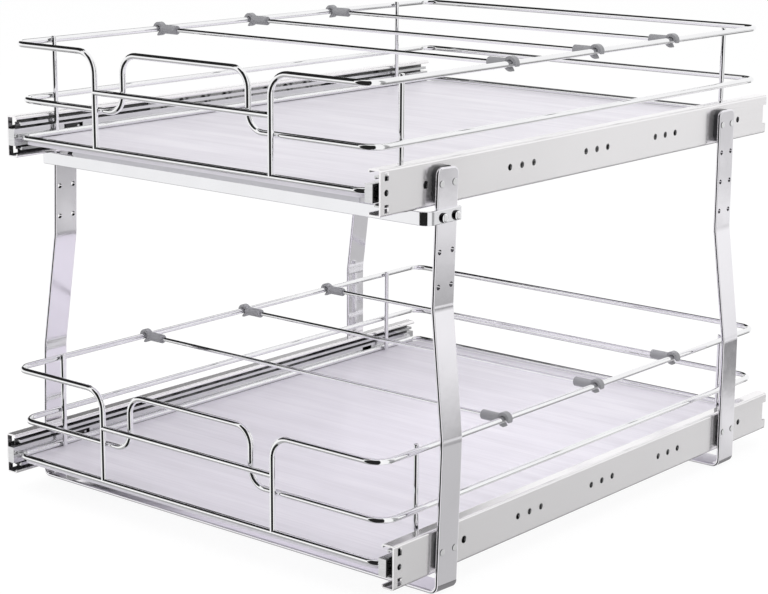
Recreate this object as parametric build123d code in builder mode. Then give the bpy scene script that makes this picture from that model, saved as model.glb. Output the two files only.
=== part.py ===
"""Two-tier pull-out cabinet basket: wire baskets on telescopic slides in a free-standing strap frame.

Units are millimetres.  X runs across the cabinet, Y from front to back and Z up, with both baskets
pushed in.  The origin is on the floor under the middle of the whole assembly.  Sub-parts are drawn with
Y = 0 at the front ends of the slides, and save() moves each finished one back to the shared origin.
"""
from build123d import *
import os

# ---------------------------------------------------------------- slides
SLIDE_LENGTH = 550.0
SLIDE_HALF_HEIGHT = 17.5
CHANNEL_DEPTH = 11.6
CHANNEL_SHEET = 1.4
CHANNEL_LIP_DEPTH = 1.2
CHANNEL_LIP_HALF_GAP = 14.6
CHANNEL_BEND = 2.0
MIDDLE_NEAR, MIDDLE_FAR = 2.6, 11.0
MIDDLE_HALF_HEIGHT = 11.5
MIDDLE_WEB, MIDDLE_FLANGE = 1.2, 1.3
MIDDLE_LIP_DEPTH, MIDDLE_LIP_HALF_GAP = 1.2, 9.0
MIDDLE_SETBACK, MIDDLE_END_GAP = 6.0, 4.0
INNER_NEAR, SLIDE_DEPTH = 5.0, 12.2
INNER_HALF_HEIGHT = 7.0
INNER_WEB, INNER_FLANGE = 1.2, 1.3
INNER_PROUD, INNER_END_GAP = 3.0, 3.0
CAGE_START, CAGE_END = 160.0, 390.0
CAGE_SHEET = 0.6
CAGE_WEB = 0.5
OUTER_CAGE_NEAR, OUTER_CAGE_FAR, OUTER_CAGE_HALF_HEIGHT = 1.75, 9.4, 14.1
INNER_CAGE_NEAR, INNER_CAGE_FAR, INNER_CAGE_HALF_HEIGHT = 4.15, 9.5, 8.9
OUTER_BALL, OUTER_BALL_DEPTH, OUTER_BALL_HEIGHT = 4.5, 5.9, 13.8
INNER_BALL, INNER_BALL_DEPTH, INNER_BALL_HEIGHT = 3.1, 7.2, 8.6
BALLS_PER_ROW = 8
BALL_PITCH = 28.0
BALL_POCKET_PLAY = 0.3

# holes in the web of each outer channel: (distance from the front end, diameter); the mounting hole
# stays open in the upper tier, and in the lower tier a screw of the strap frame takes its place
WEB_HOLES = [(6.6, 4.8), (85.0, 6.0), (499.5, 5.2)]
MOUNTING_HOLE_Y, MOUNTING_HOLE = 51.7, 6.0
HOLE_GROUPS, HOLE_GROUP_PITCH, HOLE_PITCH, GROUP_HOLE = 3, 103.6, 15.7, 5.2
FIRST_GROUP = 171.3
FRONT_SLOT_Y, FRONT_SLOT_WIDTH, FRONT_SLOT_HEIGHT, FRONT_SLOT_OFFSET = 6.9, 4.6, 6.2, 11.8
REAR_NOTCH_HEIGHT, REAR_NOTCH_DEPTH = 17.0, 5.5

# release levers in the inner members
LEVER_WINDOW_FRONT, LEVER_WINDOW_LENGTH = -10.0, 21.0
LEVER_WINDOW_LOW, LEVER_WINDOW_HIGH = -3.6, 5.4
LEVER_LENGTH, LEVER_HEIGHT = 17.0, 5.0
LEVER_NEAR, LEVER_FAR = 8.6, 11.9
LEVER_PIVOT_RADIUS, LEVER_PIN_RADIUS, LEVER_PIN_PLAY = 2.4, 1.2, 0.05
LEVER_PIVOT_HEIGHT = 2.4
LEVER_LUG_GAP = 0.3
REAR_WINDOW_LENGTH, REAR_WINDOW_HEIGHT = 14.0, 5.0

# ---------------------------------------------------------------- strap frames
STRAP_WIDTH = 25.0
STRAP_SHEET = 3.1
STRAP_EDGE = 1.4
SPACER_WIDTH, SPACER_HEIGHT, SPACER_DROP = 21.4, 28.6, 1.6
SPACER_CORNER = 8.0
LEG_TOP = 325.0
LEG_TOP_CORNER = 6.0
LEG_KINK_HIGH, LEG_KINK_LOW = 219.0, 119.0
LEG_KINK_RADIUS, FOOT_RADIUS = 40.0, 6.0
FRONT_LEG_FOOT_Y, REAR_LEG_FOOT_Y = 57.4, 470.8
FRONT_LEG_LEAN, REAR_LEG_LEAN = 2.16, -0.43
LEG_HOLE_COLUMN = 7.6
LEG_HOLE = 4.2
LEG_HOLE_ROWS = [287.6, 261.5, 235.2]
FLOOR_HOLE, FLOOR_HOLE_PITCH = 5.0, 53.0
BRACE_FRONT_Y, BRACE_BACK_Y = 42.0, 82.0
BRACE_SHEET, BRACE_LOW, BRACE_HIGH, BRACE_BEND = 2.4, 283.3, 293.8, 7.0
BRACE_EDGE = 0.6
BRACE_BOLT, BRACE_BOLT_HEAD, BRACE_BOLT_HEAD_HEIGHT = 4.0, 7.6, 2.4
BRACE_BOLT_Z = 287.6
BRACE_NUT_FLATS, BRACE_NUT_HEIGHT = 7.0, 2.8
SLIDE_SCREW, SLIDE_SCREW_HEAD, SLIDE_SCREW_HEAD_HEIGHT = 4.0, 5.4, 0.5
HEAD_ROUNDING = 0.7
FIT = 0.05

# ---------------------------------------------------------------- wire baskets
WIRE = 5.0
POST_WIRE = 4.4
FRONT_WIRE_Y, BACK_WIRE_Y = 1.1, 548.2
TOP_RISE, MIDDLE_RISE, CROSSBAR_RISE = 77.7, 31.0, 45.9
RAIL_CORNER, BASE_CORNER = 14.0, 10.0
UPRIGHT_X, UPRIGHT_BEND = 95.5, 17.0
HANDLE_X, HANDLE_TOP_BEND, HANDLE_FOOT_BEND = 68.0, 15.0, 15.0
POST_STUB, POST_ROUNDING = 3.6, 0.8
PANEL_SHEET, PANEL_INSET, PANEL_CORNER = 3.0, 1.4, 10.0
STIFFENER_HALF_WIDTH, STIFFENER_Y = 156.5, 30.7
STIFFENER_SHEET, STIFFENER_DROP, STIFFENER_SHELF, STIFFENER_CORNER = 2.0, 10.5, 14.0, 1.0
TAB_LENGTH, TAB_REACH, TAB_RISE, TAB_SHEET = 14.0, 18.0, 4.4, 1.5
TAB_SCREW, TAB_SCREW_HEAD, TAB_SCREW_HEAD_HEIGHT = 2.5, 4.4, 1.2
TAB_SCREW_INSET, TAB_SCREW_GRIP = 11.0, 2.2

# ---------------------------------------------------------------- dividers
ROD = 3.6
RAIL_PLAY, ROD_PLAY = 0.06, 0.02
CLIP_RING, CLIP_RING_LENGTH = 12.0, 6.0
CLIP_MOUTH_NARROW, CLIP_MOUTH_WIDE, CLIP_MOUTH_TURN = 3.9, 6.6, 50.0
CLIP_SLEEVE, CLIP_SLEEVE_START, CLIP_SLEEVE_END = 8.0, 4.0, 21.8
CLIP_ROUNDING, CLIP_COUNTERSINK = 0.7, 0.9
ROD_END_GAP = 3.4

# Each tier: height of the slides' middle, outer faces of the slides and of the legs beside them, half
# widths of the rails and of the base wire, height of the posts' feet above the slides' middle, and the Y
# of the posts, the tabs, the dividers, the release levers and the rear windows.
TIERS = {
    "upper": {
        "z": 312.2,
        "channel": 202.5,
        "leg": 210.0,
        "rail": 192.4,
        "base": 187.7,
        "post_foot": 0.0,
        "posts": (41.0, 493.5),
        "tabs": (43.0, 490.0),
        "dividers": (168.5, 285.0, 399.5),
        "lever": 62.0,
        "rear_window": 459.0,
    },
    "lower": {
        "z": 33.1,
        "channel": 217.7,
        "leg": 223.2,
        "rail": 203.0,
        "base": 203.0,
        "post_foot": -WIRE / 2,
        "posts": (49.5, 493.5),
        "tabs": (52.0, 490.0),
        "dividers": (155.0, 285.0, 405.0),
        "lever": 74.0,
        "rear_window": 471.0,
    },
}
SIDES = {"left": -1, "right": 1}


def save(builder, name):
    """Move a finished sub-part to the shared origin, label it and write it to its own file."""
    middle_y = (BACK_WIRE_Y + WIRE / 2 - INNER_PROUD) / 2
    placed = builder.part.moved(Location((0, -middle_y, 0)))
    placed.label = name
    export_step(placed, f"parts/{name}.step")


def cross_section(y):
    """Plane across the slides at a given Y, with local x along X and local y along Z."""
    return Plane.XZ.offset(-y)


def side_plane(x):
    """Plane facing +X at a given X, with local x along Y and local y along Z."""
    return Plane.YZ.offset(x)


def band(side, face, near, far, low, high):
    """Rectangle between two depths below the slide's outer face and between two heights."""
    with Locations((side * (face - (near + far) / 2), (low + high) / 2)):
        Rectangle(far - near, high - low)


def cut_band(side, face, near, far, low, high):
    """The same rectangle, taken away."""
    with Locations((side * (face - (near + far) / 2), (low + high) / 2)):
        Rectangle(far - near, high - low, mode=Mode.SUBTRACT)


def rims_at(builder, distance):
    """Circular edges that lie at a given distance either side of the middle plane."""
    circles = builder.edges().filter_by(GeomType.CIRCLE)
    return circles.filter_by(lambda edge: abs(abs(edge.center().X) - distance) < FIT)


# ---------------------------------------------------------------- telescopic slides
def outer_channel(tier, side):
    """Fixed C-shaped channel with lips, a row of holes and a notched rear end."""
    face, mid = tier["channel"], tier["z"]
    wall = SLIDE_HALF_HEIGHT - CHANNEL_SHEET
    lip = CHANNEL_DEPTH - CHANNEL_LIP_DEPTH
    with BuildPart() as channel:
        with BuildSketch(cross_section(0)):
            band(side, face, 0, CHANNEL_DEPTH, mid - SLIDE_HALF_HEIGHT, mid + SLIDE_HALF_HEIGHT)
            cut_band(side, face, CHANNEL_SHEET, lip, mid - wall, mid + wall)
            cut_band(
                side, face, lip, CHANNEL_DEPTH, mid - CHANNEL_LIP_HALF_GAP, mid + CHANNEL_LIP_HALF_GAP
            )
        extrude(amount=-SLIDE_LENGTH)
        outside = channel.edges().filter_by(Axis.Y).group_by(Axis.Z)
        fillet(outside[0] + outside[-1], CHANNEL_BEND)
        with BuildSketch(side_plane(side * (face + 1))):
            for y, diameter in WEB_HOLES:
                with Locations((y, mid)):
                    Circle(diameter / 2)
            if min(leg_columns(mid)) > MOUNTING_HOLE_Y + MOUNTING_HOLE:
                with Locations((MOUNTING_HOLE_Y, mid)):
                    Circle(MOUNTING_HOLE / 2)
            for group in range(HOLE_GROUPS):
                with Locations((FIRST_GROUP + group * HOLE_GROUP_PITCH, mid)):
                    with GridLocations(HOLE_PITCH, 0, 3, 1):
                        Circle(GROUP_HOLE / 2)
            with Locations((FRONT_SLOT_Y, mid)):
                with GridLocations(0, 2 * FRONT_SLOT_OFFSET, 1, 2):
                    Rectangle(FRONT_SLOT_WIDTH, FRONT_SLOT_HEIGHT)
            with Locations((SLIDE_LENGTH - REAR_NOTCH_DEPTH / 2 + 1, mid)):
                Rectangle(REAR_NOTCH_DEPTH + 2, REAR_NOTCH_HEIGHT)
            for y in leg_columns(mid):
                with Locations((y, mid)):
                    Circle(SLIDE_SCREW / 2 + FIT)
        extrude(amount=-side * (CHANNEL_SHEET + 1.5), mode=Mode.SUBTRACT)
    return channel


def middle_member(tier, side):
    """Intermediate member of the slide, a lipped C that runs inside the outer channel."""
    face, mid = tier["channel"], tier["z"]
    wall = MIDDLE_HALF_HEIGHT - MIDDLE_FLANGE
    web = MIDDLE_NEAR + MIDDLE_WEB
    lip = MIDDLE_FAR - MIDDLE_LIP_DEPTH
    with BuildPart() as member:
        with BuildSketch(cross_section(MIDDLE_SETBACK)):
            band(side, face, MIDDLE_NEAR, MIDDLE_FAR, mid - MIDDLE_HALF_HEIGHT, mid + MIDDLE_HALF_HEIGHT)
            cut_band(side, face, web, lip, mid - wall, mid + wall)
            cut_band(side, face, lip, MIDDLE_FAR, mid - MIDDLE_LIP_HALF_GAP, mid + MIDDLE_LIP_HALF_GAP)
        extrude(amount=-(SLIDE_LENGTH - MIDDLE_SETBACK - MIDDLE_END_GAP))
    return member


def inner_member(tier, side):
    """Drawer member: a C with its web towards the basket and its front end closed."""
    face, mid = tier["channel"], tier["z"]
    wall = INNER_HALF_HEIGHT - INNER_FLANGE
    web = SLIDE_DEPTH - INNER_WEB
    length = SLIDE_LENGTH + INNER_PROUD - INNER_END_GAP
    window_front = tier["lever"] + LEVER_WINDOW_FRONT
    window_mid = mid + (LEVER_WINDOW_LOW + LEVER_WINDOW_HIGH) / 2
    with BuildPart() as member:
        with BuildSketch(cross_section(-INNER_PROUD)):
            band(side, face, INNER_NEAR, SLIDE_DEPTH, mid - INNER_HALF_HEIGHT, mid + INNER_HALF_HEIGHT)
        extrude(amount=-length)
        with BuildSketch(cross_section(INNER_WEB - INNER_PROUD)):
            band(side, face, INNER_NEAR - 1, web, mid - wall, mid + wall)
        extrude(amount=-length, mode=Mode.SUBTRACT)
        with BuildSketch(side_plane(side * (face - SLIDE_DEPTH - 1))):
            with Locations((window_front + LEVER_WINDOW_LENGTH / 2, window_mid)):
                Rectangle(LEVER_WINDOW_LENGTH, LEVER_WINDOW_HIGH - LEVER_WINDOW_LOW)
            with Locations((tier["rear_window"], mid + LEVER_PIVOT_HEIGHT)):
                Rectangle(REAR_WINDOW_LENGTH, REAR_WINDOW_HEIGHT)
        extrude(amount=side * (INNER_WEB + 1.5), mode=Mode.SUBTRACT)
        with BuildSketch(side_plane(side * (face - INNER_NEAR))):
            with Locations((lever_pivot_y(tier), mid + LEVER_PIVOT_HEIGHT)):
                Circle(LEVER_PIN_RADIUS)
        extrude(amount=-side * (LEVER_FAR - INNER_NEAR))
        with BuildSketch(side_plane(side * (face - INNER_NEAR))):
            with Locations((lever_pivot_y(tier), mid + (LEVER_PIVOT_HEIGHT + wall + INNER_FLANGE / 2) / 2)):
                Rectangle(2 * LEVER_PIN_RADIUS, wall + INNER_FLANGE / 2 - LEVER_PIVOT_HEIGHT)
        extrude(amount=-side * (LEVER_NEAR - INNER_NEAR - LEVER_LUG_GAP))
    return member


def ball_cage(tier, side, near, far, half_height, ball, ball_depth, ball_height):
    """Retainer strip with a row of balls in each flange, each ball in its own pocket."""
    face, mid = tier["channel"], tier["z"]
    inside = half_height - CAGE_SHEET
    first = (CAGE_START + CAGE_END) / 2 - BALL_PITCH * (BALLS_PER_ROW - 1) / 2
    x_ball = side * (face - ball_depth)
    with BuildPart() as cage:
        with BuildSketch(cross_section(CAGE_START)):
            band(side, face, near, far, mid - half_height, mid + half_height)
            cut_band(side, face, near + CAGE_WEB, far + 1, mid - inside, mid + inside)
        extrude(amount=-(CAGE_END - CAGE_START))
        with BuildSketch(Plane.XY.offset(mid - half_height - 1)):
            with Locations((x_ball, (CAGE_START + CAGE_END) / 2)):
                with GridLocations(0, BALL_PITCH, 1, BALLS_PER_ROW):
                    Circle((ball + BALL_POCKET_PLAY) / 2)
        extrude(amount=2 * half_height + 2, mode=Mode.SUBTRACT)
        for row in (-1, 1):
            for index in range(BALLS_PER_ROW):
                with Locations((x_ball, first + index * BALL_PITCH, mid + row * ball_height)):
                    Sphere(ball / 2)
    return cage


def lever_pivot_y(tier):
    """Y of the pin that a release lever turns on."""
    return tier["lever"] + LEVER_LENGTH / 2 - LEVER_PIVOT_RADIUS


def release_lever(tier, side):
    """Small lever in the window of the inner member, pivoted on a pin at its rear end."""
    face, mid = tier["channel"], tier["z"]
    front = tier["lever"] - LEVER_LENGTH / 2
    pivot = lever_pivot_y(tier)
    height = mid + LEVER_PIVOT_HEIGHT
    low, high = height - LEVER_HEIGHT / 2, height + LEVER_HEIGHT / 2
    with BuildPart() as lever:
        with BuildSketch(side_plane(side * (face - LEVER_NEAR))):
            with BuildLine():
                Polyline(
                    (front, low + LEVER_HEIGHT * 0.3),
                    (front + LEVER_HEIGHT, low),
                    (pivot, low),
                    (pivot, high),
                    (front + 1.5, high),
                    (front, high - 1.5),
                    close=True,
                )
            make_face()
            with Locations((pivot, height)):
                Circle(LEVER_PIVOT_RADIUS)
                Circle(LEVER_PIN_RADIUS + LEVER_PIN_PLAY, mode=Mode.SUBTRACT)
        extrude(amount=-side * (LEVER_FAR - LEVER_NEAR))
    return lever


# ---------------------------------------------------------------- strap frame
def lean_plane(foot_y, lean):
    """Upright plane through a frame's foot, tipped about X by the frame's lean."""
    drop = STRAP_WIDTH / 2 * sin_degrees(abs(lean))
    up = Vector(0, sin_degrees(lean), cos_degrees(lean))
    return Plane(origin=(0, foot_y, -drop), x_dir=(1, 0, 0), z_dir=Vector(1, 0, 0).cross(up))


def sin_degrees(angle):
    """Sine of an angle in degrees."""
    return Vector(1, 0).rotate(Axis.Z, angle).Y


def cos_degrees(angle):
    """Cosine of an angle in degrees."""
    return Vector(1, 0).rotate(Axis.Z, angle).X


def leg_centre(z, foot_y, lean):
    """Y of the middle of a leaning leg at a given height."""
    return foot_y + z * sin_degrees(lean) / cos_degrees(lean)


def front_columns(z):
    """Y of the two hole columns of a front leg at a given height."""
    centre = leg_centre(z, FRONT_LEG_FOOT_Y, FRONT_LEG_LEAN)
    return (centre - LEG_HOLE_COLUMN, centre + LEG_HOLE_COLUMN)


def rear_columns(z):
    """Y of the two hole columns of a rear leg at a given height."""
    centre = leg_centre(z, REAR_LEG_FOOT_Y, REAR_LEG_LEAN)
    return (centre - LEG_HOLE_COLUMN, centre + LEG_HOLE_COLUMN)


def leg_columns(z):
    """Y of all four hole columns at a given height."""
    return front_columns(z) + rear_columns(z)


def long_edges(builder, plane):
    """Edges along the bent strap, which lie half its width either side of a plane."""
    sides = builder.faces().filter_by(
        lambda face: abs(abs(plane.to_local_coords(face.center()).Z) - STRAP_WIDTH / 2) < FIT
    )
    return sides.edges().filter_by(lambda edge: edge.length > STRAP_SHEET + FIT)


def leg_frame(foot_y, lean, columns):
    """Flat strap bent into a U: two legs that step outwards and a cross strap on the floor."""
    upper = TIERS["upper"]["leg"] - STRAP_SHEET / 2
    lower = TIERS["lower"]["leg"] - STRAP_SHEET / 2
    rows = [TIERS["lower"]["z"]] + LEG_HOLE_ROWS + [TIERS["upper"]["z"]]
    with BuildPart() as frame:
        with BuildSketch(lean_plane(foot_y, lean)):
            with BuildLine():
                FilletPolyline(
                    (-upper, LEG_TOP),
                    (-upper, LEG_KINK_HIGH),
                    (-lower, LEG_KINK_LOW),
                    (-lower, STRAP_SHEET / 2),
                    (lower, STRAP_SHEET / 2),
                    (lower, LEG_KINK_LOW),
                    (upper, LEG_KINK_HIGH),
                    (upper, LEG_TOP),
                    radius=[
                        LEG_KINK_RADIUS,
                        LEG_KINK_RADIUS,
                        FOOT_RADIUS,
                        FOOT_RADIUS,
                        LEG_KINK_RADIUS,
                        LEG_KINK_RADIUS,
                    ],
                )
            trace(line_width=STRAP_SHEET)
        extrude(amount=STRAP_WIDTH / 2, both=True)
        cross_edges = frame.edges().filter_by(Axis.X).group_by(Axis.Z)
        fillet(cross_edges[-1] + cross_edges[-2], LEG_TOP_CORNER)
        fillet(long_edges(frame, lean_plane(foot_y, lean)), STRAP_EDGE)
        split(bisect_by=Plane.XY, keep=Keep.TOP)
        for z in rows:
            with BuildSketch(side_plane(-lower - STRAP_SHEET)):
                for y in columns(z):
                    with Locations((y, z)):
                        Circle((LEG_HOLE if z in LEG_HOLE_ROWS else SLIDE_SCREW + 2 * FIT) / 2)
            extrude(amount=2 * (lower + STRAP_SHEET), mode=Mode.SUBTRACT)
        with BuildSketch(Plane.XY.offset(-1)):
            with Locations((0, foot_y)):
                with GridLocations(FLOOR_HOLE_PITCH, 0, 3, 1):
                    Circle(FLOOR_HOLE / 2)
        extrude(amount=STRAP_SHEET + 2, mode=Mode.SUBTRACT)
    return frame


os.makedirs("parts", exist_ok=True)

front_leg_frame = leg_frame(FRONT_LEG_FOOT_Y, FRONT_LEG_LEAN, front_columns)
save(front_leg_frame, "front_leg_frame")

rear_leg_frame = leg_frame(REAR_LEG_FOOT_Y, REAR_LEG_LEAN, rear_columns)
save(rear_leg_frame, "rear_leg_frame")

# Brace: a flat bar on edge across the front legs, its ends wrapped back along their outer faces.
brace_x = TIERS["upper"]["leg"] + BRACE_SHEET / 2
brace_y = BRACE_FRONT_Y + BRACE_SHEET / 2
with BuildPart() as front_brace:
    with BuildSketch(Plane.XY.offset(BRACE_LOW)):
        with BuildLine():
            FilletPolyline(
                (-brace_x, BRACE_BACK_Y),
                (-brace_x, brace_y),
                (brace_x, brace_y),
                (brace_x, BRACE_BACK_Y),
                radius=BRACE_BEND,
            )
        trace(line_width=BRACE_SHEET)
    extrude(amount=BRACE_HIGH - BRACE_LOW)
    rims = front_brace.edges().filter_by(lambda edge: edge.length > BRACE_SHEET + FIT)
    fillet(rims.filter_by(Axis.Z, reverse=True), BRACE_EDGE)
    with BuildSketch(side_plane(-brace_x - BRACE_SHEET)):
        for hole_y in front_columns(BRACE_BOLT_Z):
            with Locations((hole_y, BRACE_BOLT_Z)):
                Rectangle(BRACE_BOLT + 2 * FIT, BRACE_BOLT + 2 * FIT)
    extrude(amount=2 * (brace_x + BRACE_SHEET), mode=Mode.SUBTRACT)
save(front_brace, "front_brace")

# Brace bolts: plain domed heads and square necks in the brace, nuts inside the legs.
bolt_face = TIERS["upper"]["leg"] + BRACE_SHEET
nut_face = TIERS["upper"]["leg"] - STRAP_SHEET
with BuildPart() as brace_bolts:
    for side in SIDES.values():
        for bolt_y in front_columns(BRACE_BOLT_Z):
            with BuildSketch(side_plane(side * bolt_face)):
                with Locations((bolt_y, BRACE_BOLT_Z)):
                    Circle(BRACE_BOLT_HEAD / 2)
            extrude(amount=side * BRACE_BOLT_HEAD_HEIGHT)
    fillet(rims_at(brace_bolts, bolt_face + BRACE_BOLT_HEAD_HEIGHT), BRACE_BOLT_HEAD_HEIGHT * HEAD_ROUNDING)
    for side in SIDES.values():
        for bolt_y in front_columns(BRACE_BOLT_Z):
            with BuildSketch(side_plane(side * bolt_face)):
                with Locations((bolt_y, BRACE_BOLT_Z)):
                    Rectangle(BRACE_BOLT, BRACE_BOLT)
            extrude(amount=-side * BRACE_SHEET)
            with BuildSketch(side_plane(side * bolt_face)):
                with Locations((bolt_y, BRACE_BOLT_Z)):
                    Circle(BRACE_BOLT / 2)
            extrude(amount=-side * (bolt_face - nut_face + BRACE_NUT_HEIGHT))
            with BuildSketch(side_plane(side * nut_face)):
                with Locations((bolt_y, BRACE_BOLT_Z)):
                    RegularPolygon(BRACE_NUT_FLATS / 2, 6, major_radius=False)
            extrude(amount=-side * BRACE_NUT_HEIGHT)
save(brace_bolts, "brace_bolts")

# Spacer plates between the legs and the slides, and the screws that clamp all three.
with BuildPart() as slide_spacers:
    for tier in TIERS.values():
        for side in SIDES.values():
            for spacer_y in (
                leg_centre(tier["z"], FRONT_LEG_FOOT_Y, FRONT_LEG_LEAN),
                leg_centre(tier["z"], REAR_LEG_FOOT_Y, REAR_LEG_LEAN),
            ):
                with BuildSketch(side_plane(side * tier["channel"])):
                    with Locations((spacer_y, tier["z"] - SPACER_DROP)):
                        RectangleRounded(SPACER_WIDTH, SPACER_HEIGHT, SPACER_CORNER)
                    with Locations((spacer_y, tier["z"])):
                        with GridLocations(2 * LEG_HOLE_COLUMN, 0, 2, 1):
                            Circle(SLIDE_SCREW / 2 + FIT, mode=Mode.SUBTRACT)
                extrude(amount=side * (tier["leg"] - STRAP_SHEET - tier["channel"]))
save(slide_spacers, "slide_spacers")

with BuildPart() as slide_screws:
    for tier in TIERS.values():
        for side in SIDES.values():
            for screw_y in leg_columns(tier["z"]):
                with BuildSketch(side_plane(side * tier["leg"])):
                    with Locations((screw_y, tier["z"])):
                        Circle(SLIDE_SCREW_HEAD / 2)
                extrude(amount=side * SLIDE_SCREW_HEAD_HEIGHT)
                with BuildSketch(side_plane(side * tier["leg"])):
                    with Locations((screw_y, tier["z"])):
                        Circle(SLIDE_SCREW / 2)
                extrude(amount=-side * (tier["leg"] - tier["channel"] + CHANNEL_SHEET))
    for tier in TIERS.values():
        rims = rims_at(slide_screws, tier["leg"] + SLIDE_SCREW_HEAD_HEIGHT)
        fillet(rims, SLIDE_SCREW_HEAD_HEIGHT * HEAD_ROUNDING)
save(slide_screws, "slide_screws")


# ---------------------------------------------------------------- wire baskets
def swept_wire(points, radii, diameter, closed=False):
    """Round wire along straight runs joined by tangent arcs."""
    with BuildPart() as wire:
        with BuildLine() as path:
            FilletPolyline(*points, radius=radii, close=closed)
        with BuildSketch(Plane(path.wire() @ 0, z_dir=path.wire() % 0)):
            Circle(diameter / 2)
        sweep(path=path.wire())
    return wire


def base_loop(tier):
    """Closed wire round the floor panel."""
    x, z = tier["base"], tier["z"]
    points = [
        (-x, (FRONT_WIRE_Y + BACK_WIRE_Y) / 2, z),
        (-x, FRONT_WIRE_Y, z),
        (x, FRONT_WIRE_Y, z),
        (x, BACK_WIRE_Y, z),
        (-x, BACK_WIRE_Y, z),
    ]
    return swept_wire(points, [0] + [BASE_CORNER] * 4, WIRE, closed=True)


def middle_loop(tier):
    """Closed wire half-way up the basket that rises at the front to form the handle."""
    x, z = tier["rail"], tier["z"] + MIDDLE_RISE
    top = tier["z"] + TOP_RISE
    front = FRONT_WIRE_Y + WIRE
    points = [
        (-x, (FRONT_WIRE_Y + BACK_WIRE_Y) / 2, z),
        (-x, front, z),
        (-HANDLE_X, front, z),
        (-HANDLE_X, front, top),
        (HANDLE_X, front, top),
        (HANDLE_X, front, z),
        (x, front, z),
        (x, BACK_WIRE_Y, z),
        (-x, BACK_WIRE_Y, z),
    ]
    foot, crown = HANDLE_FOOT_BEND, HANDLE_TOP_BEND
    radii = [0, RAIL_CORNER, foot, crown, crown, foot, RAIL_CORNER, RAIL_CORNER, RAIL_CORNER]
    return swept_wire(points, radii, WIRE, closed=True)


def top_loop(tier, base):
    """Top rail, open at the front, where both its ends turn down and are coped onto the base wire."""
    x, z = tier["rail"], tier["z"] + TOP_RISE
    points = [
        (-UPRIGHT_X, FRONT_WIRE_Y, tier["z"]),
        (-UPRIGHT_X, FRONT_WIRE_Y, z),
        (-x, FRONT_WIRE_Y, z),
        (-x, BACK_WIRE_Y, z),
        (x, BACK_WIRE_Y, z),
        (x, FRONT_WIRE_Y, z),
        (UPRIGHT_X, FRONT_WIRE_Y, z),
        (UPRIGHT_X, FRONT_WIRE_Y, tier["z"]),
    ]
    radii = [UPRIGHT_BEND] + [RAIL_CORNER] * 4 + [UPRIGHT_BEND]
    loop = swept_wire(points, radii, WIRE)
    with loop:
        add(base.part, mode=Mode.SUBTRACT)
    return loop


def crossbar(tier, top):
    """Straight wire behind which the handle rises, coped between the two front uprights."""
    with BuildPart() as bar:
        with BuildSketch(side_plane(-UPRIGHT_X)):
            with Locations((FRONT_WIRE_Y, tier["z"] + CROSSBAR_RISE)):
                Circle(WIRE / 2)
        extrude(amount=2 * UPRIGHT_X)
        add(top.part, mode=Mode.SUBTRACT)
    return bar


def side_posts(tier, base):
    """Four short posts inside the rails, two on each side."""
    x = tier["rail"] - (WIRE + POST_WIRE) / 2
    foot = tier["z"] + tier["post_foot"]
    height = TOP_RISE + POST_STUB - tier["post_foot"]
    with BuildPart() as posts:
        with BuildSketch(Plane.XY.offset(foot)):
            for side in SIDES.values():
                for y in tier["posts"]:
                    with Locations((side * x, y)):
                        Circle(POST_WIRE / 2)
        extrude(amount=height)
        fillet(posts.edges().filter_by(GeomType.CIRCLE).group_by(Axis.Z)[-1], POST_ROUNDING)
        add(base.part, mode=Mode.SUBTRACT)
    return posts


def floor_panel(tier):
    """Laminate board that the base wire lies on, with pilot holes for the tab screws."""
    half_width = tier["base"] - PANEL_INSET
    length = BACK_WIRE_Y - FRONT_WIRE_Y - 2 * PANEL_INSET
    under = tier["z"] - WIRE / 2 - PANEL_SHEET
    with BuildPart() as panel:
        with BuildSketch(Plane.XY.offset(under)):
            with Locations((0, (FRONT_WIRE_Y + BACK_WIRE_Y) / 2)):
                RectangleRounded(2 * half_width, length, PANEL_CORNER)
        extrude(amount=PANEL_SHEET)
        with BuildSketch(Plane.XY.offset(under)):
            for x, y in tab_screw_places(tier):
                with Locations((x, y)):
                    Circle(TAB_SCREW / 2 + ROD_PLAY)
        extrude(amount=TAB_SCREW_GRIP + FIT, mode=Mode.SUBTRACT)
    return panel


def front_plate(tier):
    """Angle section under the front of the floor panel."""
    under = tier["z"] - WIRE / 2 - PANEL_SHEET
    with BuildPart() as plate:
        with BuildSketch(side_plane(-STIFFENER_HALF_WIDTH)):
            with Locations((STIFFENER_Y, under)):
                Rectangle(STIFFENER_SHEET, STIFFENER_DROP, align=(Align.MIN, Align.MAX))
                Rectangle(STIFFENER_SHELF, STIFFENER_SHEET, align=(Align.MIN, Align.MAX))
        extrude(amount=2 * STIFFENER_HALF_WIDTH)
        ends = plate.edges().filter_by(Axis.Y).group_by(Axis.Z)[0]
        fillet(ends, STIFFENER_CORNER)
    return plate


def tab_screw_places(tier):
    """X and Y of the four screws that hold the floor panel down on the tabs."""
    x = tier["channel"] - SLIDE_DEPTH - TAB_SCREW_INSET
    return [(side * x, y) for side in SIDES.values() for y in tier["tabs"]]


def slide_tabs(tier):
    """Four angle tabs welded to the inner members, reaching in under the floor panel."""
    face = tier["channel"] - SLIDE_DEPTH
    under = tier["z"] - WIRE / 2 - PANEL_SHEET
    with BuildPart() as tabs:
        for side in SIDES.values():
            inward = Align.MAX if side > 0 else Align.MIN
            for y in tier["tabs"]:
                with BuildSketch(cross_section(y - TAB_LENGTH / 2)):
                    with Locations((side * face, under - TAB_SHEET)):
                        Rectangle(TAB_REACH, TAB_SHEET, align=(inward, Align.MIN))
                        Rectangle(TAB_SHEET, TAB_RISE, align=(inward, Align.MIN))
                extrude(amount=-TAB_LENGTH)
        with BuildSketch(Plane.XY.offset(under - TAB_SHEET)):
            for x, y in tab_screw_places(tier):
                with Locations((x, y)):
                    Circle(TAB_SCREW / 2 + FIT)
        extrude(amount=TAB_SHEET, mode=Mode.SUBTRACT)
    return tabs


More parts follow.
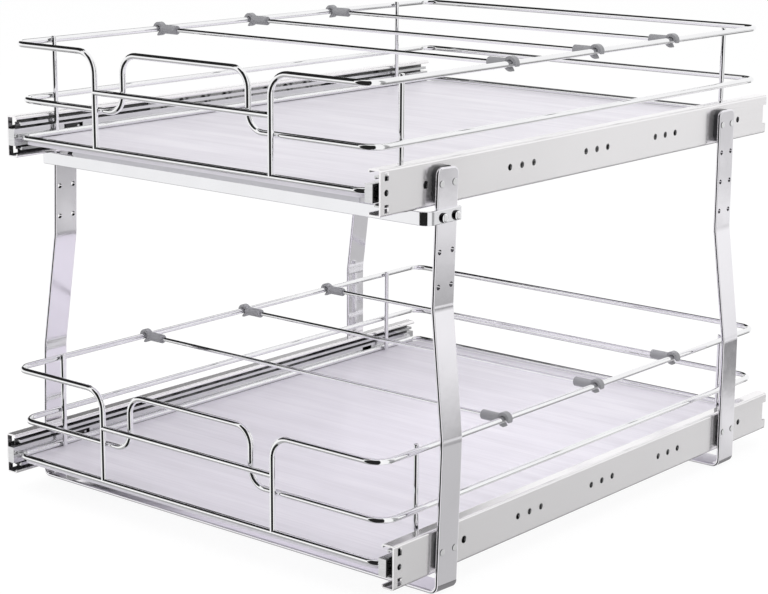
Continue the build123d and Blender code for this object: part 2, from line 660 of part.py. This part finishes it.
def tab_screws(tier):
    """Four flat-headed screws driven up through the tabs into the floor panel."""
    seat = tier["z"] - WIRE / 2 - PANEL_SHEET - TAB_SHEET
    with BuildPart() as screws:
        with BuildSketch(Plane.XY.offset(seat)):
            for x, y in tab_screw_places(tier):
                with Locations((x, y)):
                    Circle(TAB_SCREW_HEAD / 2)
        extrude(amount=-TAB_SCREW_HEAD_HEIGHT)
        rims = screws.edges().filter_by(GeomType.CIRCLE).group_by(Axis.Z)[0]
        fillet(rims, TAB_SCREW_HEAD_HEIGHT * HEAD_ROUNDING)
        with BuildSketch(Plane.XY.offset(seat)):
            for x, y in tab_screw_places(tier):
                with Locations((x, y)):
                    Circle(TAB_SCREW / 2)
        extrude(amount=TAB_SHEET + TAB_SCREW_GRIP)
    return screws


# ---------------------------------------------------------------- dividers
def divider_rod(tier, y):
    """Straight rod across the basket at rail height."""
    half_length = tier["rail"] - ROD_END_GAP
    with BuildPart() as rod:
        with BuildSketch(side_plane(-half_length)):
            with Locations((y, tier["z"] + TOP_RISE)):
                Circle(ROD / 2)
        extrude(amount=2 * half_length)
    return rod


def clip_mouth(side):
    """Corners of the flared mouth of a clip's ring, which opens downwards and away from the basket."""
    out = Vector(side * cos_degrees(CLIP_MOUTH_TURN), -sin_degrees(CLIP_MOUTH_TURN))
    across = Vector(-out.Y, out.X)
    near = across * (CLIP_MOUTH_NARROW / 2)
    far = across * (CLIP_MOUTH_WIDE / 2)
    rim = out * CLIP_RING / 2
    beyond = out * CLIP_RING
    return [Vector(0, 0) - near, rim - far, beyond - far, beyond + far, rim + far, Vector(0, 0) + near]


def divider_clips(tier, y):
    """Two moulded clips: an open ring that slides on the rail and a sleeve that holds the rod."""
    z = tier["z"] + TOP_RISE
    with BuildPart() as clips:
        for side in SIDES.values():
            with BuildSketch(cross_section(y - CLIP_RING_LENGTH / 2)):
                with Locations((side * tier["rail"], z)):
                    Circle(CLIP_RING / 2)
            extrude(amount=-CLIP_RING_LENGTH)
        fillet(clips.edges().filter_by(GeomType.CIRCLE), CLIP_ROUNDING)
        for side in SIDES.values():
            with BuildSketch(side_plane(side * (tier["rail"] - CLIP_SLEEVE_START))):
                with Locations((y, z)):
                    Circle(CLIP_SLEEVE / 2)
            extrude(amount=-side * (CLIP_SLEEVE_END - CLIP_SLEEVE_START))
        fillet(rims_at(clips, tier["rail"] - CLIP_SLEEVE_END), CLIP_ROUNDING)
        for side in SIDES.values():
            with BuildSketch(cross_section(y - CLIP_RING_LENGTH / 2)):
                with Locations((side * tier["rail"], z)):
                    Circle(WIRE / 2 + RAIL_PLAY)
            extrude(amount=-CLIP_RING_LENGTH, mode=Mode.SUBTRACT)
        mouths = clips.edges().filter_by(GeomType.CIRCLE)
        chamfer(mouths.filter_by(lambda edge: edge.radius < WIRE / 2 + RAIL_PLAY + FIT), CLIP_COUNTERSINK)
        for side in SIDES.values():
            with BuildSketch(cross_section(y - CLIP_RING_LENGTH)):
                with Locations((side * tier["rail"], z)):
                    Polygon(*clip_mouth(side), align=None)
            extrude(amount=-2 * CLIP_RING_LENGTH, mode=Mode.SUBTRACT)
            with BuildSketch(side_plane(side * (tier["rail"] - ROD_END_GAP + FIT))):
                with Locations((y, z)):
                    Circle(ROD / 2 + ROD_PLAY)
            extrude(amount=-side * CLIP_SLEEVE_END, mode=Mode.SUBTRACT)
    return clips


# ---------------------------------------------------------------- both tiers
for tier_name, tier in TIERS.items():
    for side_name, side in SIDES.items():
        slide_name = f"{tier_name}_{side_name}"
        save(outer_channel(tier, side), f"{slide_name}_outer_channel")
        save(middle_member(tier, side), f"{slide_name}_middle_member")
        save(inner_member(tier, side), f"{slide_name}_inner_member")
        outer_cage = ball_cage(
            tier,
            side,
            OUTER_CAGE_NEAR,
            OUTER_CAGE_FAR,
            OUTER_CAGE_HALF_HEIGHT,
            OUTER_BALL,
            OUTER_BALL_DEPTH,
            OUTER_BALL_HEIGHT,
        )
        save(outer_cage, f"{slide_name}_outer_cage")
        inner_cage = ball_cage(
            tier,
            side,
            INNER_CAGE_NEAR,
            INNER_CAGE_FAR,
            INNER_CAGE_HALF_HEIGHT,
            INNER_BALL,
            INNER_BALL_DEPTH,
            INNER_BALL_HEIGHT,
        )
        save(inner_cage, f"{slide_name}_inner_cage")
        save(release_lever(tier, side), f"{slide_name}_release_lever")

    base = base_loop(tier)
    save(base, f"{tier_name}_base_loop")
    save(middle_loop(tier), f"{tier_name}_middle_loop")
    top = top_loop(tier, base)
    save(top, f"{tier_name}_top_loop")
    save(crossbar(tier, top), f"{tier_name}_crossbar")
    save(side_posts(tier, base), f"{tier_name}_posts")
    save(floor_panel(tier), f"{tier_name}_floor_panel")
    save(front_plate(tier), f"{tier_name}_front_plate")
    save(slide_tabs(tier), f"{tier_name}_slide_tabs")
    save(tab_screws(tier), f"{tier_name}_tab_screws")

    for number, divider_y in enumerate(tier["dividers"], start=1):
        save(divider_rod(tier, divider_y), f"{tier_name}_divider_{number}_rod")
        save(divider_clips(tier, divider_y), f"{tier_name}_divider_{number}_clips")
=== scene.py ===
"""Studio view of the two-tier pull-out cabinet basket. Metres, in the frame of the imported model."""
import math

import bpy
from mathutils import Matrix, Vector

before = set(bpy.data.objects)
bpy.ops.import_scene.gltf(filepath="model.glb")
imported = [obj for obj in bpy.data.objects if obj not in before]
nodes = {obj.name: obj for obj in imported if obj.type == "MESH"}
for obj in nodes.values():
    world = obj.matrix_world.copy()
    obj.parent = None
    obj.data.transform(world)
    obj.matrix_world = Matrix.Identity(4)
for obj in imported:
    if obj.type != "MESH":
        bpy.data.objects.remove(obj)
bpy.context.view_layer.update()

# ---------------------------------------------------------------- camera
MIDDLE_Y = 0.27385
CAMERA_AT = Vector((1.11351, -1.09685 - MIDDLE_Y, 0.57271))
AZIMUTH, PITCH, ROLL = (math.radians(a) for a in (39.59, 13.24, 0.43))
LENS, SENSOR = 95.45, 36.0

heading = Vector((-math.sin(AZIMUTH), math.cos(AZIMUTH), 0.0))
forward = heading * math.cos(PITCH) - Vector((0.0, 0.0, math.sin(PITCH)))
right = Vector((math.cos(AZIMUTH), math.sin(AZIMUTH), 0.0))
up = right.cross(forward)
cam_x = right * math.cos(ROLL) + up * math.sin(ROLL)
cam_y = up * math.cos(ROLL) - right * math.sin(ROLL)

camera_data = bpy.data.cameras.new("camera")
camera_data.lens = LENS
camera_data.sensor_width = SENSOR
camera_data.sensor_fit = "HORIZONTAL"
camera_data.clip_end = 50.0
camera = bpy.data.objects.new("camera", camera_data)
bpy.context.scene.collection.objects.link(camera)
rotation = Matrix((cam_x, cam_y, -forward)).transposed().to_4x4()
camera.matrix_world = Matrix.Translation(CAMERA_AT) @ rotation
bpy.context.scene.camera = camera
bpy.context.scene.view_settings.view_transform = "Standard"


# ---------------------------------------------------------------- node helpers
class Nodes:
    """Short way to add and join the nodes of one node tree."""

    def __init__(self, tree):
        self.tree = tree
        tree.nodes.clear()

    def add(self, kind, inputs=None, **settings):
        node = self.tree.nodes.new(kind)
        for key, value in settings.items():
            setattr(node, key, value)
        for key, value in (inputs or {}).items():
            self.feed(node.inputs[key], value)
        return node

    def feed(self, socket, value):
        if isinstance(value, bpy.types.NodeSocket):
            self.tree.links.new(value, socket)
        else:
            socket.default_value = value

    def math(self, operation, a, b=0.0, clamp=False):
        node = self.add("ShaderNodeMath", {0: a, 1: b}, operation=operation, use_clamp=clamp)
        return node.outputs[0]

    def smooth(self, value, low, high, to_low=0.0, to_high=1.0):
        inputs = {"Value": value, "From Min": low, "From Max": high, "To Min": to_low, "To Max": to_high}
        return self.add("ShaderNodeMapRange", inputs, interpolation_type="SMOOTHSTEP").outputs["Result"]

    def noise(self, vector, scale, detail=2.0, roughness=0.5):
        inputs = {"Vector": vector, "Scale": scale, "Detail": detail, "Roughness": roughness}
        return self.add("ShaderNodeTexNoise", inputs).outputs["Fac"]

    def stretched(self, scale):
        coords = self.add("ShaderNodeTexCoord").outputs["Object"]
        return self.add("ShaderNodeMapping", {"Vector": coords, "Scale": scale}).outputs["Vector"]

    def place(self):
        """Position in the frame of the model, in metres."""
        return self.stretched((1.0, 1.0, 1.0))

    def axes(self, vector):
        """The three components of a vector."""
        return self.add("ShaderNodeSeparateXYZ", {0: vector}).outputs

    def facing(self, kind="True Normal"):
        """The three components of the normal."""
        return self.axes(self.add("ShaderNodeNewGeometry").outputs[kind])

    def mix(self, factor, colour, other):
        """One colour turned into another; the mix node's colour sockets go by number."""
        inputs = {0: factor, 6: colour, 7: (*other, 1.0)}
        return self.add("ShaderNodeMix", inputs, data_type="RGBA").outputs[2]

    def ramp(self, value, stops):
        node = self.add("ShaderNodeValToRGB", {"Fac": value})
        ramp = node.color_ramp
        ramp.elements[0].position, ramp.elements[0].color = stops[0][0], (*stops[0][1], 1.0)
        ramp.elements[1].position, ramp.elements[1].color = stops[-1][0], (*stops[-1][1], 1.0)
        for place, colour in stops[1:-1]:
            ramp.elements.new(place).color = (*colour, 1.0)
        return node.outputs["Color"]

    def bump(self, height, strength, distance):
        inputs = {"Height": height, "Strength": strength, "Distance": distance}
        return self.add("ShaderNodeBump", inputs).outputs["Normal"]


def new_material(name):
    material = bpy.data.materials.new(name)
    material.use_nodes = True
    return material, Nodes(material.node_tree)


def finish_material(n, inputs):
    shader = n.add("ShaderNodeBsdfPrincipled", inputs)
    n.add("ShaderNodeOutputMaterial", {"Surface": shader.outputs[0]})


# ---------------------------------------------------------------- materials
# Outer faces, pitch, middle height and half height of the slides, which their materials follow.
UPPER_SLIDE_FACE, LOWER_SLIDE_FACE = 0.2025, 0.2177
TIER_PITCH, SLIDE_LEVEL, SLIDE_HALF_HEIGHT = 0.2791, 0.0331, 0.0175
BETWEEN_TIERS = 0.17
FLANGE_SKIN = 0.0006
# Depth in a slide down to which its races carry full painted shade, standing in for the dark of their
# recesses, and from which they carry none.
SHADED_DEPTH, UNSHADED_DEPTH = 0.004, 0.0105
# Heights between which the straps have their punched holes.
HOLES_FROM, HOLES_TO = 0.02, 0.318
# Near-black used as painted shade: in the slide races, on the walls of the strap holes and on the fastener
# rims.
PAINTED_SHADE_BLACK = (0.03, 0.03, 0.032)


def plating(n, base, roughness, cloud, wave, painted_shade=None):
    """Finish a mirror with faint clouding and polishing waves, with near-black painted shade mixed in
    where the given shade mask rises to 1.
    """
    clouds = n.noise(n.place(), 26.0, 3.0)
    colour = n.ramp(clouds, [(0.3, tuple(c * (1.0 - cloud) for c in base)), (0.7, base)])
    # Painted shade: the near-black mixed in by the given mask.
    if painted_shade is not None:
        colour = n.mix(painted_shade, colour, PAINTED_SHADE_BLACK)
    rough = n.smooth(clouds, 0.35, 0.75, roughness, roughness * 1.7)
    waves = n.bump(n.noise(n.place(), 90.0, 2.0), wave, 0.0004)
    finish_material(n, {"Base Color": colour, "Metallic": 1.0, "Roughness": rough, "Normal": waves})


def chrome(name, base, roughness, cloud, wave=0.06):
    """Bright plating."""
    material, n = new_material(name)
    plating(n, base, roughness, cloud, wave)
    return material


def strap_plating(name, base, roughness):
    """Bright plating of the straps, with painted shade on the walls of the punched holes."""
    material, n = new_material(name)
    level = n.axes(n.place())[2]
    normal = n.facing()
    wall = n.math("LESS_THAN", n.math("ABSOLUTE", normal[0]), 0.3)
    tilted = n.math("GREATER_THAN", n.math("ABSOLUTE", normal[2]), 0.2)
    above, below = n.math("GREATER_THAN", level, HOLES_FROM), n.math("LESS_THAN", level, HOLES_TO)
    # Painted shade on the hole walls, standing in for the shadow inside the holes.
    hole_shade = n.math("MULTIPLY", n.math("MULTIPLY", wall, tilted), n.math("MULTIPLY", above, below))
    plating(n, base, roughness, 0.05, 0.06, n.math("MULTIPLY", hole_shade, 0.9))
    return material


def outward(n):
    """1 on faces that look away from the middle plane, 0 on all others."""
    side = n.math("SIGN", n.axes(n.place())[0])
    return n.smooth(n.math("MULTIPLY", side, n.facing()[0]), 0.6, 0.9)


def slide_shade_mask(n):
    """0 on the outside and the cut ends of a slide, rising to 1 in the depth of its ball races, where
    shade is painted.
    """
    place = n.axes(n.place())
    upper = n.math("GREATER_THAN", place[2], BETWEEN_TIERS)
    face = n.smooth(upper, 0.0, 1.0, LOWER_SLIDE_FACE, UPPER_SLIDE_FACE)
    height = n.math("FLOORED_MODULO", place[2], TIER_PITCH)
    level = n.math("ABSOLUTE", n.math("SUBTRACT", height, SLIDE_LEVEL))
    depth = n.math("SUBTRACT", face, n.math("ABSOLUTE", place[0]))
    inner = n.math("LESS_THAN", level, SLIDE_HALF_HEIGHT - FLANGE_SKIN)
    lengthwise = n.smooth(n.math("ABSOLUTE", n.facing()[1]), 0.6, 0.9, 1.0, 0.0)
    # Painted shade in the races, full near the slide's outer face and fading out deeper in.
    painted_shade = n.smooth(depth, SHADED_DEPTH, UNSHADED_DEPTH, 1.0, 0.0)
    return n.math("MULTIPLY", n.math("MULTIPLY", inner, lengthwise), painted_shade)


def zinc_sheet(name, light, dark, roughness, inside, shaded):
    """Plated sheet with the fine lines of cold rolling, satin outside, with painted shade in the depth of
    the slide.
    """
    material, n = new_material(name)
    lines = n.noise(n.stretched((60.0, 3.0, 900.0)), 1.0, 3.0, 0.6)
    clouds = n.noise(n.place(), 9.0, 2.0)
    both = n.math("ADD", n.math("MULTIPLY", lines, 0.5), n.math("MULTIPLY", clouds, 0.5))
    colour = n.ramp(both, [(0.35, dark), (0.65, light)])
    # Painted shade in the slide's races: 0.84 on faces turned inward, the shaded value on faces turned
    # outward.
    race_shade = n.math("MULTIPLY", slide_shade_mask(n), n.smooth(outward(n), 0.0, 1.0, 0.84, shaded))
    spread = n.smooth(lines, 0.3, 0.7, 0.92, 1.08)
    inputs = {
        "Base Color": n.mix(race_shade, colour, PAINTED_SHADE_BLACK),
        "Metallic": 0.85,
        "Roughness": n.math("MULTIPLY", spread, n.smooth(outward(n), 0.0, 1.0, inside, roughness)),
        "Normal": n.bump(lines, 0.015, 0.0003),
    }
    finish_material(n, inputs)
    return material


def laminate():
    """Light grey board whose faint, uneven grain lines run across the basket."""
    material, n = new_material("laminate")
    wide = n.noise(n.stretched((5.0, 70.0, 70.0)), 1.0, 3.0, 0.6)
    fine = n.noise(n.stretched((9.0, 420.0, 420.0)), 1.0, 2.0, 0.7)
    breaks = n.noise(n.stretched((14.0, 40.0, 40.0)), 1.0, 2.0)
    lines = n.math("ADD", n.math("MULTIPLY", wide, 0.55), n.math("MULTIPLY", fine, 0.45))
    lines = n.math("MULTIPLY", lines, n.smooth(breaks, 0.2, 0.8, 0.85, 1.1))
    stops = [(0.36, (0.72, 0.695, 0.75)), (0.5, (0.765, 0.74, 0.80)), (0.64, (0.81, 0.785, 0.84))]
    colour = n.ramp(lines, stops)
    rough = n.smooth(lines, 0.35, 0.65, 0.42, 0.3)
    grain = n.bump(lines, 0.10, 0.0003)
    finish_material(n, {"Base Color": colour, "Roughness": rough, "Normal": grain})
    return material


def moulded(name, base, roughness):
    """Moulded plastic with a fine sparked texture."""
    material, n = new_material(name)
    place = n.place()
    mottle = n.noise(place, 60.0, 2.0)
    colour = n.ramp(mottle, [(0.3, tuple(c * 0.9 for c in base)), (0.7, base)])
    skin = n.bump(n.noise(place, 2500.0, 2.0), 0.15, 0.0002)
    rough = n.smooth(mottle, 0.3, 0.7, roughness * 0.9, roughness * 1.1)
    finish_material(n, {"Base Color": colour, "Roughness": rough, "Normal": skin})
    return material


def satin_paint(name, base):
    """Satin powder coat with a slight orange peel."""
    material, n = new_material(name)
    place = n.place()
    clouds = n.noise(place, 14.0, 2.0)
    colour = n.ramp(clouds, [(0.3, tuple(c * 0.94 for c in base)), (0.7, base)])
    peel = n.bump(n.noise(place, 700.0, 2.0), 0.1, 0.0002)
    rough = n.smooth(clouds, 0.3, 0.7, 0.34, 0.44)
    finish_material(n, {"Base Color": colour, "Roughness": rough, "Normal": peel})
    return material


def fastener(name, base):
    """Bright heads whose sloping rims are painted near-black as shade."""
    material, n = new_material(name)
    clouds = n.noise(n.place(), 60.0, 2.0)
    flatness = n.math("ABSOLUTE", n.facing("Normal")[0])
    flatness = n.math("ADD", flatness, n.math("MULTIPLY", clouds, 0.06))
    # Painted shade: near-black on the sloping rims, bright on the flat face.
    colour = n.ramp(flatness, [(0.64, PAINTED_SHADE_BLACK), (0.76, base)])
    rough = n.smooth(clouds, 0.35, 0.75, 0.12, 0.2)
    finish_material(n, {"Base Color": colour, "Metallic": 1.0, "Roughness": rough})
    return material


wire_chrome = chrome("wire_chrome", (0.93, 0.93, 0.94), 0.03, 0.05, 0.02)
strap_chrome = strap_plating("strap_chrome", (0.895, 0.88, 0.915), 0.10)
brace_chrome = chrome("brace_chrome", (0.88, 0.88, 0.90), 0.10, 0.05)
channel_zinc = zinc_sheet("channel_zinc", (0.97, 0.955, 0.965), (0.93, 0.915, 0.925), 0.22, 0.12, 0.0)
member_zinc = zinc_sheet("member_zinc", (0.74, 0.74, 0.75), (0.64, 0.64, 0.65), 0.12, 0.10, 0.6)
bearing_steel = chrome("bearing_steel", (0.62, 0.62, 0.62), 0.16, 0.15)
fastener_steel = fastener("fastener_steel", (0.92, 0.92, 0.93))
clip_grey = moulded("clip_grey", (0.31, 0.31, 0.325), 0.30)
spacer_black = moulded("spacer_black", (0.035, 0.035, 0.038), 0.30)
lever_black = moulded("lever_black", (0.012, 0.012, 0.013), 0.35)
board_laminate = laminate()
plate_paint = satin_paint("plate_paint", (0.62, 0.62, 0.64))


def material_for(name):
    """The finish of a CAD node, from its name."""
    if name.endswith("_clips"):
        return clip_grey
    if "release_lever" in name:
        return lever_black
    if name.endswith(("_rod", "_loop", "_crossbar", "_posts")):
        return wire_chrome
    if name in ("front_leg_frame", "rear_leg_frame"):
        return strap_chrome
    if name == "front_brace":
        return brace_chrome
    if name == "slide_spacers":
        return spacer_black
    if name.endswith("floor_panel"):
        return board_laminate
    if name.endswith("front_plate"):
        return plate_paint
    if name.endswith("_cage"):
        return bearing_steel
    if name in ("brace_bolts", "slide_screws") or name.endswith("tab_screws"):
        return fastener_steel
    if name.endswith("outer_channel"):
        return channel_zinc
    return member_zinc


for name, node in nodes.items():
    node.data.materials.clear()
    node.data.materials.append(material_for(name))

# ---------------------------------------------------------------- floor
FLOOR_SIZE = 30.0
# How much of the floor's own glow the camera and the mirrors see in place of its shaded paint.
GLOW_SHARE = 0.88
floor_mesh = bpy.data.meshes.new("floor")
half = FLOOR_SIZE / 2
corners = [(-half, -half, 0.0), (half, -half, 0.0), (half, half, 0.0), (-half, half, 0.0)]
floor_mesh.from_pydata(corners, [], [(0, 1, 2, 3)])
floor = bpy.data.objects.new("floor", floor_mesh)
bpy.context.scene.collection.objects.link(floor)
floor_material, n = new_material("floor_white")
path = n.add("ShaderNodeLightPath")
paint = n.add("ShaderNodeBsdfDiffuse", {"Color": (0.95, 0.95, 0.96, 1.0)})
glow = n.add("ShaderNodeEmission", {"Color": (1.0, 1.0, 1.0, 1.0), "Strength": 1.035})
seen = n.math("ADD", path.outputs["Is Camera Ray"], path.outputs["Is Glossy Ray"], clamp=True)
seen = n.math("MULTIPLY", seen, GLOW_SHARE)
surface = n.add("ShaderNodeMixShader", {0: seen, 1: paint.outputs[0], 2: glow.outputs[0]})
n.add("ShaderNodeOutputMaterial", {"Surface": surface.outputs[0]})
floor_mesh.materials.append(floor_material)
floor.visible_glossy = False

# ---------------------------------------------------------------- world
# A white studio: softboxes all round with narrow dark gaps between them, which the plating mirrors.
world = bpy.data.worlds.new("studio")
bpy.context.scene.world = world
world.use_nodes = True
n = Nodes(world.node_tree)
x, y, z = n.axes(n.add("ShaderNodeTexCoord").outputs["Generated"])
turn = n.math("ARCTAN2", x, y)


def strip(centre, half_width, soft, low, high, low_edge, high_edge):
    """1 inside a window of directions: degrees from +Y towards +X, and heights as sines of elevation."""
    offset = n.math("SUBTRACT", turn, math.radians(centre))
    wrapped = n.math("ARCTAN2", n.math("SINE", offset), n.math("COSINE", offset))
    away = n.math("ABSOLUTE", wrapped)
    across = n.smooth(away, math.radians(half_width), math.radians(half_width + soft), 1.0, 0.0)
    above = n.smooth(z, low - low_edge, low, 0.0, 1.0)
    below = n.smooth(z, high, high + high_edge, 1.0, 0.0)
    return n.math("MULTIPLY", across, n.math("MULTIPLY", above, below))


FILL = 0.72
DARK_STRIPS = [
    # centre, half width, softness, low, high, low edge, high edge, depth
    (166.5, 39.5, 4.0, -1.0, 0.90, 0.1, 0.05, 0.98),
    (-88.0, 49.0, 4.0, 0.27, 0.90, 0.04, 0.05, 0.98),
    (-94.0, 56.0, 6.0, -1.0, -0.40, 0.1, 0.06, 0.55),
    (64.0, 9.0, 8.0, -0.5, 0.70, 0.1, 0.10, 0.60),
    (20.0, 40.0, 15.0, -0.75, -0.45, 0.06, 0.06, 0.75),
    (28.5, 4.0, 3.0, -0.262, -0.238, 0.012, 0.045, 0.80),
    (43.0, 8.0, 4.0, -0.275, -0.242, 0.03, 0.06, 0.60),
    (44.0, 6.0, 4.0, -0.165, -0.150, 0.02, 0.055, 0.72),
    (26.0, 4.0, 3.0, -0.165, -0.125, 0.02, 0.05, 0.35),
    (42.0, 14.0, 6.0, -0.45, -0.31, 0.05, 0.03, 0.42),
]
shade = 1.0
for window in DARK_STRIPS:
    dark = n.math("MULTIPLY", strip(*window[:-1]), window[-1])
    shade = n.math("MULTIPLY", shade, n.math("SUBTRACT", 1.0, dark))
path = n.add("ShaderNodeLightPath")
mirrored = n.math("MULTIPLY", path.outputs["Is Glossy Ray"], shade)
plain = n.math("MULTIPLY", path.outputs["Is Diffuse Ray"], FILL)
shown = n.math("ADD", path.outputs["Is Camera Ray"], path.outputs["Is Transmission Ray"], clamp=True)
strength = n.math("ADD", n.math("ADD", mirrored, plain), shown)
background = n.add("ShaderNodeBackground", {"Color": (1.0, 1.0, 1.0, 1.0), "Strength": strength})
n.add("ShaderNodeOutputWorld", {"Surface": background.outputs[0]})


# ---------------------------------------------------------------- lamps
def lamp(name, at, aim, size, power, seen=True):
    """Rectangular area lamp that the plating does not mirror."""
    data = bpy.data.lights.new(name, "AREA")
    data.shape = "RECTANGLE"
    data.size, data.size_y = size
    data.energy = power
    light = bpy.data.objects.new(name, data)
    light.location = at
    light.rotation_euler = (Vector(aim) - Vector(at)).to_track_quat("-Z", "Y").to_euler()
    light.visible_glossy = False
    light.visible_camera = seen
    bpy.context.scene.collection.objects.link(light)


lamp("top_softbox", (0.0, -0.3, 2.4), (0.0, 0.0, 0.2), (2.4, 2.4), 26.0)
lamp("left_softbox", (-2.2, -1.2, 1.3), (0.0, 0.0, 0.2), (1.4, 1.8), 10.0)
lamp("between_tiers", (0.05, 0.04, 0.285), (0.05, 0.041, 0.0), (0.24, 0.42), 0.50, seen=False)
lamp("under_basket", (0.03, 0.0, 0.007), (0.03, 0.001, 0.3), (0.30, 0.46), 0.20, seen=False)
